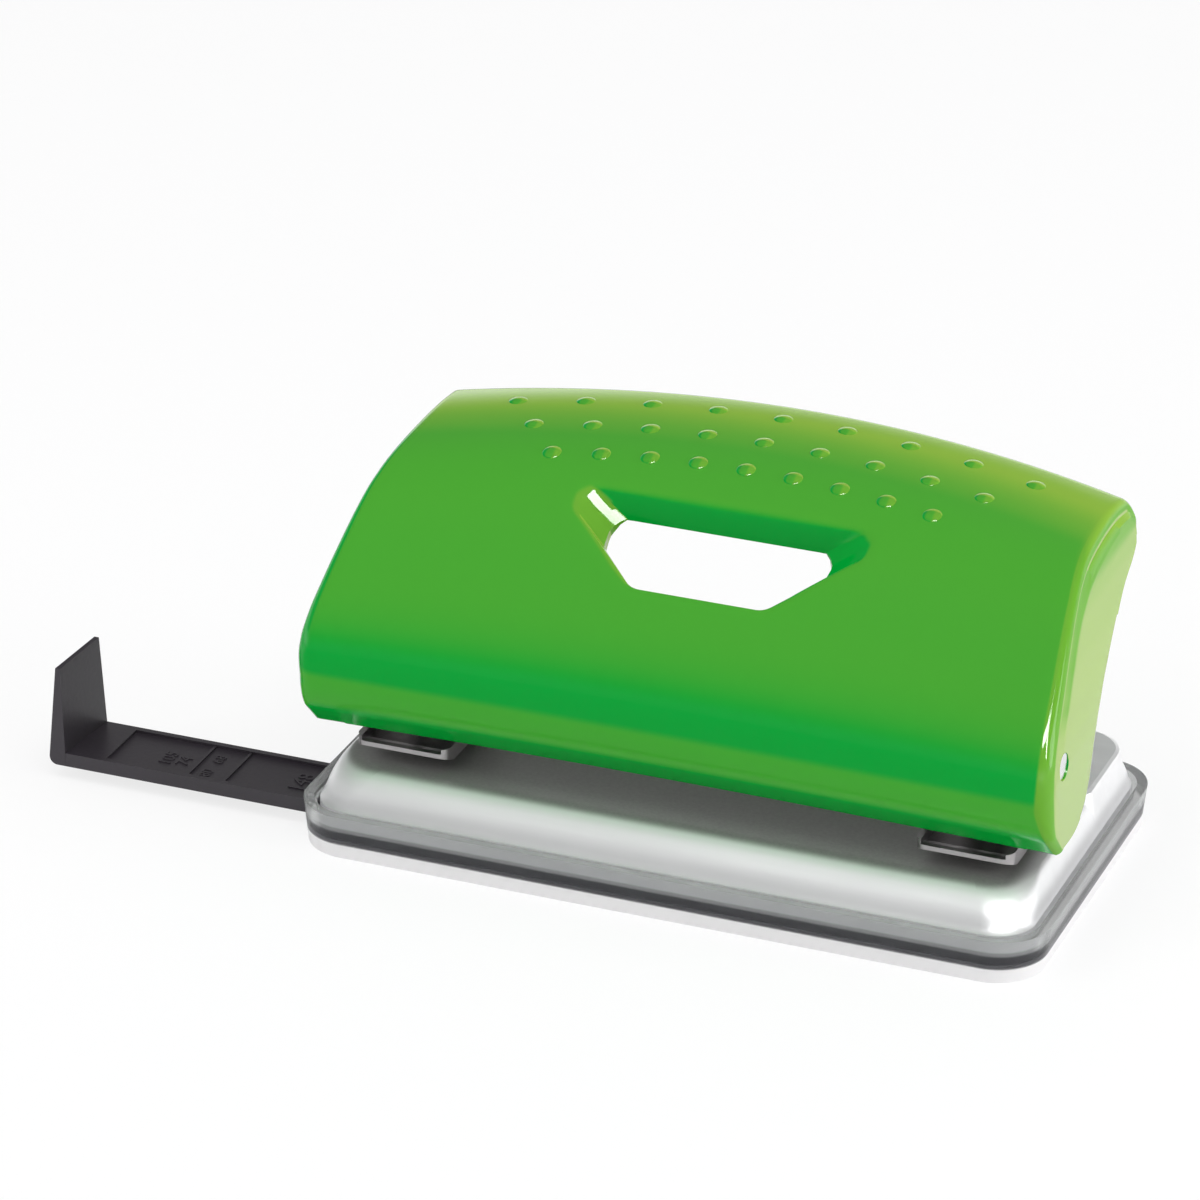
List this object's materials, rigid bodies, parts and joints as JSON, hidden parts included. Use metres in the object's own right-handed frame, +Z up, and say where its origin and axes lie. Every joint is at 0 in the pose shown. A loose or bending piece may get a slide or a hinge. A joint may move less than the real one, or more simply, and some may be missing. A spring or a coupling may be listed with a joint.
{
  "type": "hole punch",
  "caption": "Desk hole punch with a curved plastic handle over a pressed steel base, a sliding paper guide and a soft chip tray that hinges down.",
  "frame": {"origin": "middle of the chip tray's flat underside, which the machine stands on", "axes": "+X along the machine to the right, away from the paper guide's stop; +Y to the back, away from the paper; +Z up"},
  "size_m": [0.1457, 0.0568, 0.0534],
  "materials": {
    "cover_plastic": "glossy green",
    "tray_plastic": "soft translucent plastic",
    "base_steel": "satin plated steel",
    "bracket_steel": "dark satin steel",
    "bright_steel": "bright steel",
    "spring_steel": "spring steel",
    "guide_plastic": "satin black plastic"
  },
  "bodies": {
    "base": {"base_plate": "base_steel", "bracket_left": "bracket_steel", "bracket_right": "bracket_steel", "bracket_rivets_left": "bright_steel", "bracket_rivets_right": "bright_steel", "guide_saddle": "spring_steel", "guide_saddle_rivets": "bright_steel", "punch_spring_left": "spring_steel", "punch_spring_right": "spring_steel"},
    "handle": {"cover": "cover_plastic", "lever_frame": "bracket_steel", "cover_screws": "bright_steel", "pivot_rod": "bright_steel", "pivot_clip_left": "spring_steel", "pivot_clip_right": "spring_steel"},
    "left_punch": {"punch_left": "bright_steel", "punch_clip_left": "spring_steel"},
    "right_punch": {"punch_right": "bright_steel", "punch_clip_right": "spring_steel"},
    "guide": {"paper_guide": "guide_plastic"},
    "tray": {"chip_tray": "tray_plastic"}
  },
  "joints": [
    {"name": "handle_press", "type": "hinge", "parent": "base", "child": "handle", "pos_m": [0, -0.0192, 0.0286], "axis": [-1, 0, 0], "range_deg": [0, 15], "stiffness_Nm_per_rad": 0.5, "springref_deg": -14.32},
    {"name": "punch_left_slide", "type": "slide", "parent": "base", "child": "left_punch", "axis": [0, 0, -1], "range_m": [0, 0.00356], "stiffness_N_per_m": 1, "springref_m": -0.03, "deforming": ["punch_spring_left"]},
    {"name": "punch_right_slide", "type": "slide", "parent": "base", "child": "right_punch", "axis": [0, 0, -1], "range_m": [0, 0.00356], "stiffness_N_per_m": 1, "springref_m": -0.03, "deforming": ["punch_spring_right"]},
    {"name": "guide_slide", "type": "slide", "parent": "base", "child": "guide", "axis": [1, 0, 0], "range_m": [-0.0586, 0.0337]},
    {"name": "tray_open", "type": "hinge", "parent": "base", "child": "tray", "pos_m": [-0.05304, 0, 0.00616], "axis": [0, 1, 0], "range_deg": [0, 26]}
  ],
  "couplings": [
    {"joint": "handle_press", "follows": "punch_left_slide", "rad_per_m": 73.53},
    {"joint": "punch_right_slide", "follows": "punch_left_slide", "ratio": 1}
  ]
}
